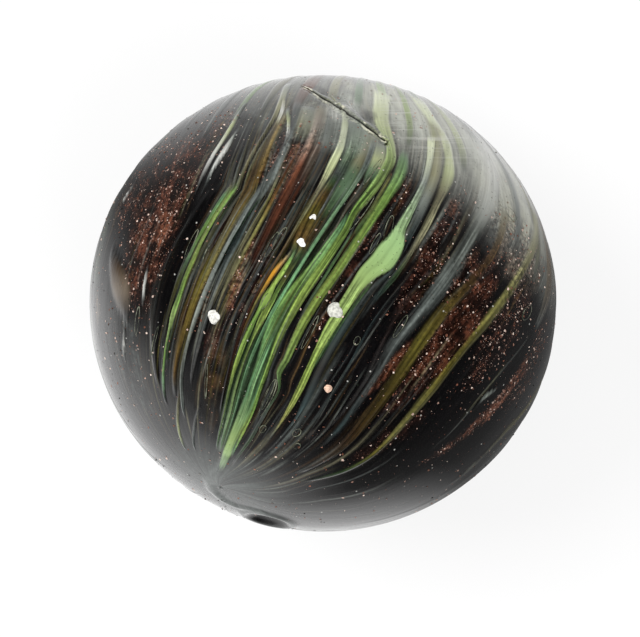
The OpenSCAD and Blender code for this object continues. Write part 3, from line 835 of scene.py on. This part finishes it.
def build_flakes(material, surface):
    """Copper flakes: tilted plates let into the skin, dense where the ground is aventurine."""
    base, colat = surface.base, surface.colat
    rng = np.random.default_rng(11)
    area = np.sin(np.radians(colat))[:, None] * np.gradient(colat)[:, None] * np.gradient(base)[None, :]
    chance = surface.flakes * area
    chance = (chance / chance.sum()).reshape(-1)
    row, column = np.divmod(rng.choice(len(chance), size=FLAKES, p=chance), len(base))
    lon = surface.lon[row, column] + rng.uniform(-0.6, 0.6, FLAKES)
    centre = on_skin(lon, colat[row] + rng.uniform(-0.8, 0.8, FLAKES), surface.relief[row, column] + 0.008)
    normal = unit(unit(centre) + rng.uniform(-0.35, 0.35, (FLAKES, 3)))
    first = unit(np.cross(normal, rng.uniform(-0.5, 0.5, (FLAKES, 3))))
    second = np.cross(normal, first)
    corners = (FLAKES, FLAKE_SIDES)
    radius = (FLAKE_R + FLAKE_R_MORE * rng.random(FLAKES) ** 5)[:, None] * rng.uniform(0.6, 1.25, corners)
    turn = (np.arange(FLAKE_SIDES) + rng.uniform(0, 0.6, corners)) / FLAKE_SIDES * 2 * math.pi
    points = centre[:, None] + (radius * np.cos(turn))[..., None] * first[:, None]
    points = points + (radius * np.sin(turn))[..., None] * second[:, None]
    faces = np.arange(FLAKES * FLAKE_SIDES).reshape(corners)
    flakes = mesh_object("copper_flakes", inside_box(points.reshape(-1, 3)), faces, material)
    glint = rng.random(FLAKES)[:, None] ** 3.2
    dull = linear(COPPER) * rng.uniform(0.35, 1.3, (FLAKES, 1))
    paint_points(flakes, np.repeat(dull * (1 - glint) + linear(GLINT) * glint, FLAKE_SIDES, axis=0))
    return flakes


def build_bubbles(material):
    """Rims of bubbles under the skin: fine closed tubes, thickest on their lit side as a painted highlight.
    """
    turn = np.linspace(0, 2 * math.pi, RIM_POINTS, endpoint=False)
    angle = 2 * math.pi * np.arange(RIM_SIDES)[None, :, None] / RIM_SIDES
    points, faces = [], []
    for number, (lon, colat, half_lon, half_colat, lean) in enumerate(BUBBLES):
        middle = on_skin(lon + half_lon * np.cos(turn) + lean * np.sin(turn),
                         colat + half_colat * np.sin(turn), STRAND_RELIEF * 0.7)
        along = unit(np.roll(middle, -1, axis=0) - np.roll(middle, 1, axis=0))
        out = unit(middle)
        across = np.cross(along, out)
        lit = np.maximum(0, np.cos(turn - 2.2 - 0.3 * lon)) ** 1.5
        radius = BUBBLE_RIM * (0.4 + 1.1 * lit + 0.2 * np.sin(3 * turn + lon) ** 2)
        ring = np.cos(angle) * across[:, None] + np.sin(angle) * out[:, None]
        points.append((middle[:, None] + radius[:, None, None] * ring).reshape(-1, 3))
        faces.append(quads(RIM_POINTS, RIM_SIDES, True, True) + number * RIM_POINTS * RIM_SIDES)
    return mesh_object("bubble_rims", inside_box(np.vstack(points)), np.vstack(faces), material)


def build_stone(index, material, lon, colat, share, lobe):
    """One white stone: a lumpy grain half sunk in the skin."""
    bm = bmesh.new()
    bmesh.ops.create_icosphere(bm, subdivisions=4, radius=1.0)
    round_points = np.array([v.co for v in bm.verts])
    faces = [[v.index for v in f.verts] for f in bm.faces]
    bm.free()
    x, y, z = round_points.T
    lump = 1 + 0.16 * np.sin(3.1 * x + index) * np.cos(2.7 * y + 2 * index)
    lump += 0.07 * np.sin(7 * z + 5 * x + index) + 0.35 * lobe * np.maximum(0, x * 0.8 - y * 0.6) ** 2
    lump += 0.05 * np.sin(13 * x + 3 * index) * np.sin(11 * y) * np.sin(12 * z + index)
    centre = on_skin(lon, colat)
    out = unit(centre)
    side = unit(np.cross(out, POLE))
    axes = np.array([side, np.cross(out, side), STONE_FLATNESS * out])
    points = centre + SPECK_D * share / 2 * lump[:, None] * (round_points @ axes)
    return mesh_object("stone_%d" % (index + 1), points, faces, material)


# Materials

class Tree:
    """The node tree of a material or world. An input's value is a socket, a number or some numbers."""

    def __init__(self, owner):
        owner.use_nodes = True
        self.nodes, self.links = owner.node_tree.nodes, owner.node_tree.links

    def fill(self, node, inputs):
        """Fills inputs given by name or number. Returns the node's outputs."""
        for key, value in inputs.items():
            if isinstance(value, bpy.types.NodeSocket):
                self.links.new(value, node.inputs[key])
            else:
                node.inputs[key].default_value = value
        return node.outputs

    def add(self, kind, inputs=None, **settings):
        """A new node. Returns its outputs."""
        node = self.nodes.new("ShaderNode" + kind)
        for key, value in settings.items():
            setattr(node, key, value)
        return self.fill(node, inputs or {})

    def calc(self, operation, first, second=0.0):
        return self.add("Math", {0: first, 1: second}, operation=operation)[0]

    def times(self, first, second):
        return self.calc("MULTIPLY", first, second)

    def vector(self, operation, first, second=(0, 0, 0)):
        return self.add("VectorMath", {0: first, 1: second}, operation=operation)

    def fit(self, value, low, high, to_low=0.0, to_high=1.0):
        """Value taken smoothly from the range low to high to another range, held at its ends."""
        inputs = {"Value": value, "From Min": low, "From Max": high, "To Min": to_low, "To Max": to_high}
        return self.add("MapRange", inputs, interpolation_type="SMOOTHSTEP")["Result"]

    def blend(self, amount, first, second, mode="MIX"):
        """Mixed colour of two sockets or colours."""
        return self.add("Mix", {0: amount, 6: first, 7: second}, data_type="RGBA", blend_type=mode)[2]

    def attribute(self, name, output="Fac"):
        return self.add("Attribute", attribute_name=name)[output]

    def place(self):
        return self.add("TexCoord")["Object"]

    def grain(self, size, detail=2.0):
        """Noise with lumps of a size in millimetres."""
        inputs = {"Vector": self.place(), "Scale": 1 / (size * MM), "Detail": detail}
        return self.add("TexNoise", inputs)["Fac"]

    def bump(self, height, strength, distance):
        """Normal bent by a height, with a distance in millimetres."""
        return self.add("Bump", {"Height": height, "Strength": strength, "Distance": distance * MM})[0]


def new_material(name):
    material = bpy.data.materials.new(name)
    tree = Tree(material)
    return material, tree, tree.nodes["Principled BSDF"]


def strand_threads(tree, across, along):
    """Noise drawn out along the strands, unbroken around the ball: lumps per degree across and along."""
    split = tree.add("SeparateXYZ", {0: tree.add("UVMap", uv_map="Strand")[0]})
    turn = tree.times(split["X"], 2 * math.pi)
    radius = math.degrees(across)
    ring = tree.add("CombineXYZ", {"X": tree.times(tree.calc("COSINE", turn), radius),
                                   "Y": tree.times(tree.calc("SINE", turn), radius),
                                   "Z": tree.times(split["Y"], 180 * along)})[0]
    return tree.add("TexNoise", {"Vector": ring, "Scale": 1.0, "Detail": 2.0, "Roughness": 0.6})["Fac"]


def scattered(tree, spacing, size, share):
    """Round specks: 1 inside them, for a share of the cells of a lattice."""
    cells = tree.add("TexVoronoi", {"Vector": tree.place(), "Scale": 1 / (spacing * MM)}, feature="F1")
    luck = tree.add("SeparateColor", {0: cells["Color"]})[0]
    dot = tree.fit(cells["Distance"], size * 0.6, size, 1, 0)
    return tree.times(dot, tree.fit(luck, 1 - share, 1 - share * 0.5))


def level_streaks(tree):
    """Fine level pale streaks that cross the strands: 1 on a streak."""
    place = tree.place()
    level = tree.add("Mapping", {0: place, "Scale": (0.35 / MM, 8 / MM, 0.35 / MM)})[0]
    noise = tree.add("TexNoise", {"Vector": level, "Scale": 1.0, "Detail": 1.0})["Fac"]
    middle = on_skin(STREAKS_LON, STREAKS_COLAT) * MM
    near = tree.fit(tree.vector("DISTANCE", place, middle)["Value"], 1 * MM, 3 * MM, 1, 0)
    return tree.times(near, tree.fit(noise, 0.5, 0.66))


def glass_material():
    material, tree, shader = new_material("swirl_glass")
    tint, flakes, milk_and_reflection = tree.attribute("Tint", "Color"), tree.attribute("Flakes"), tree.attribute("MilkAndReflection")
    threads = strand_threads(tree, 0.9, 0.035)
    fine = strand_threads(tree, 2.4, 0.08)
    level = tree.times(tree.fit(threads, 0.34, 0.62, 0.72, 1.2), tree.fit(fine, 0.32, 0.68, 0.72, 1.25))
    drawn = tree.blend(1.0, tint, level, "MULTIPLY")
    colour = tree.blend(tree.fit(milk_and_reflection, 0.0, 0.6, 0.0, 0.75), drawn, tint)
    coarse = tree.fit(tree.grain(0.16, 3), 0.36, 0.64, 0.35, 1.5)
    granular = tree.times(tree.fit(flakes, 0.05, 0.4, 0.25, 1.0), tree.fit(milk_and_reflection, 0.0, 0.5, 1.0, 0.1))
    colour = tree.blend(granular, colour, tree.blend(1.0, colour, coarse, "MULTIPLY"))
    colour = tree.blend(tree.times(level_streaks(tree), 0.35), colour, (0.6, 0.6, 0.55, 1))
    for spacing, size, share, cover, shade in SPECKS:
        colour = tree.blend(tree.times(scattered(tree, spacing, size, share), cover), colour, shade)
    dust = tree.times(scattered(tree, 0.13, 0.3, 0.4), flakes)
    colour = tree.blend(tree.times(dust, 0.7), colour, (0.24, 0.12, 0.075, 1))
    normal = tree.bump(tree.calc("ADD", threads, tree.times(fine, 0.4)), 0.35, 0.012)
    tree.fill(shader, {"Base Color": colour, "Roughness": tree.fit(threads, 0.3, 0.7, 0.3, 0.5),
                       "Normal": normal, "Coat Normal": normal, **GLOSS})
    return material


def fold_material():
    material, tree, shader = new_material("folded_glass")
    level = tree.fit(tree.grain(0.1, 3), 0.35, 0.65, 0.65, 1.25)
    colour = tree.blend(1.0, tree.attribute("Tint", "Color"), level, "MULTIPLY")
    tree.fill(shader, {"Base Color": colour, "Roughness": 0.35, **GLOSS})
    return material


def flake_material():
    material, tree, shader = new_material("copper")
    warm = tree.fit(tree.grain(0.03), 0.4, 0.7, 0, 0.6)
    colour = tree.blend(warm, tree.attribute("Tint", "Color"), (0.5, 0.2, 0.12, 1))
    tree.fill(shader, {"Base Color": colour, "Metallic": 0.2, "Roughness": 0.3})
    return material


def rim_material():
    material, tree, shader = new_material("bubble_rim")
    # The rims' pale olive grey is a painted reflection of the bubbles' edges, darker olive by grain
    colour = tree.blend(tree.fit(tree.grain(0.25), 0.35, 0.65), (0.04, 0.05, 0.032, 1), (0.2, 0.21, 0.15, 1))
    tree.fill(shader, {"Base Color": colour, "Roughness": 0.25, "Coat Weight": 0.6})
    return material


def stone_material(index, colour):
    material, tree, shader = new_material("stone_%d" % (index + 1))
    grain = tree.grain(0.12, 3)
    full = linear(colour)
    shaded = tree.blend(tree.fit(grain, 0.35, 0.6), (*full * 0.62, 1), (*full, 1))
    tree.fill(shader, {"Base Color": shaded, "Roughness": 0.45, "Coat Weight": 0.3,
                       "Normal": tree.bump(grain, 0.4, 0.02)})
    return material


# Studio

def towards(tree, vector, aim):
    """How far a vector points along aim, from -1 to 1."""
    return tree.vector("DOT_PRODUCT", tree.vector("NORMALIZE", vector)[0], aim)["Value"]


def sheet_level(tree, vector):
    """Brightness that gloss sees around the table: a white sheet to the lower left, a dimmer one above."""
    flat = tree.vector("MULTIPLY", vector, (1, 1, 0))[0]
    main = tree.fit(towards(tree, flat, (-0.66, -0.75, 0)), 0.62, 0.98, 0.1, 1.0)
    upper = tree.fit(towards(tree, flat, (0.26, 0.97, 0)), 0.35, 0.9, 0.1, 0.6)
    return tree.calc("MAXIMUM", main, upper), flat


def build_floor():
    """Pale floor that keeps the shadow. The camera and gloss see it nearer to white."""
    material, tree, shader = new_material("floor")
    tree.fill(shader, {"Base Color": (0.86, 0.86, 0.86, 1), "Roughness": 0.9, "Specular IOR Level": 0.0})
    sheets, flat = sheet_level(tree, tree.place())
    away = tree.vector("LENGTH", flat)["Value"]
    near = tree.fit(away, 18 * MM, 50 * MM, 1, 0)
    lit_side = tree.fit(towards(tree, flat, (-0.62, -0.78, 0)), 0.2, 0.75, 0.12, 1.0)
    upper_side = tree.fit(towards(tree, flat, (0.2, 0.98, 0)), 0.3, 0.9, 0.1, 0.9)
    close = tree.times(near, tree.calc("MAXIMUM", lit_side, upper_side))
    distant = tree.fit(away, 30 * MM, 150 * MM, 1.0, 0.5)
    level = tree.calc("MAXIMUM", tree.times(sheets, distant), close)
    path = tree.add("LightPath")
    camera, gloss = path["Is Camera Ray"], path["Is Glossy Ray"]
    glow = tree.add("Emission", {"Strength": tree.calc("ADD", camera, tree.times(gloss, level))})[0]
    share = tree.calc("ADD", tree.times(camera, 0.75), gloss)
    mixed = tree.add("MixShader", {0: share, 1: shader.outputs[0], 2: glow})[0]
    tree.fill(tree.nodes["Material Output"], {"Surface": mixed})
    half, bottom = 400.0, CAD_BOX[0][2] / MM
    corners = [(x * half, y * half, bottom) for x, y in ((-1, -1), (1, -1), (1, 1), (-1, 1))]
    floor = mesh_object("floor", corners, [(0, 1, 2, 3)], material)


def light_world():
    """Pale studio: white to the camera, and to gloss bright at the horizon's sheets and dim overhead."""
    world = bpy.data.worlds.new("studio")
    bpy.context.scene.world = world
    tree = Tree(world)
    view = tree.add("TexCoord")["Generated"]
    overhead = tree.fit(tree.add("SeparateXYZ", {0: view})["Z"], 0.0, 0.42, 0.3, 0.04)
    path = tree.add("LightPath")
    level = tree.times(path["Is Glossy Ray"], tree.times(overhead, sheet_level(tree, view)[0]))
    level = tree.calc("MAXIMUM", level, path["Is Camera Ray"])
    level = tree.calc("MAXIMUM", level, tree.times(path["Is Diffuse Ray"], 0.62))
    tree.fill(tree.nodes["Background"], {"Color": (1, 1, 1, 1), "Strength": level})


def add_lamp(name, place, size, power):
    """Soft area lamp aimed at the ball, unseen by the camera and in its gloss."""
    data = bpy.data.lights.new(name, "AREA")
    data.shape = "DISK"
    data.size = size
    data.energy = power
    lamp = bpy.data.objects.new(name, data)
    lamp.location = place
    lamp.rotation_mode = "QUATERNION"
    lamp.rotation_quaternion = (-Vector(place)).to_track_quat("-Z", "Y")
    lamp.visible_glossy = False
    lamp.visible_camera = False
    bpy.context.scene.collection.objects.link(lamp)


def add_camera():
    """Long lens straight above. The photograph's frame is 640 by 637 and its ball 466 wide."""
    frame_px, middle_px, ball_px = (640, 637), (323.0, 303.1), 466
    lens, sensor = 1500.0, 36.0
    data = bpy.data.cameras.new("camera")
    data.lens = lens
    data.sensor_width = sensor
    data.clip_start = 0.01
    data.shift_x = (frame_px[0] / 2 - middle_px[0]) / frame_px[0]
    data.shift_y = (middle_px[1] - frame_px[1] / 2) / frame_px[0]
    width = BALL_W * frame_px[0] / ball_px
    camera = bpy.data.objects.new("camera", data)
    camera.location = (0, 0, lens / sensor * width * MM)
    bpy.context.scene.collection.objects.link(camera)
    bpy.context.scene.camera = camera


def dress(obj):
    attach(obj, "root")


ball, ball_surface = build_ball(glass_material())
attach(ball, "root")
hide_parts("marble")
dress(build_fold(fold_material(), ball_surface))
dress(build_flakes(flake_material(), ball_surface))
dress(build_bubbles(rim_material()))
for number, (*form, stone_colour) in enumerate(STONES):
    dress(build_stone(number, stone_material(number, stone_colour), *form))
build_floor()
light_world()
add_lamp("key", (-0.25, 0.1, 0.35), 0.3, 1.6)
add_lamp("fill", (0.2, -0.2, 0.4), 0.4, 1.2)
add_camera()
bpy.context.scene.view_settings.view_transform = "Standard"
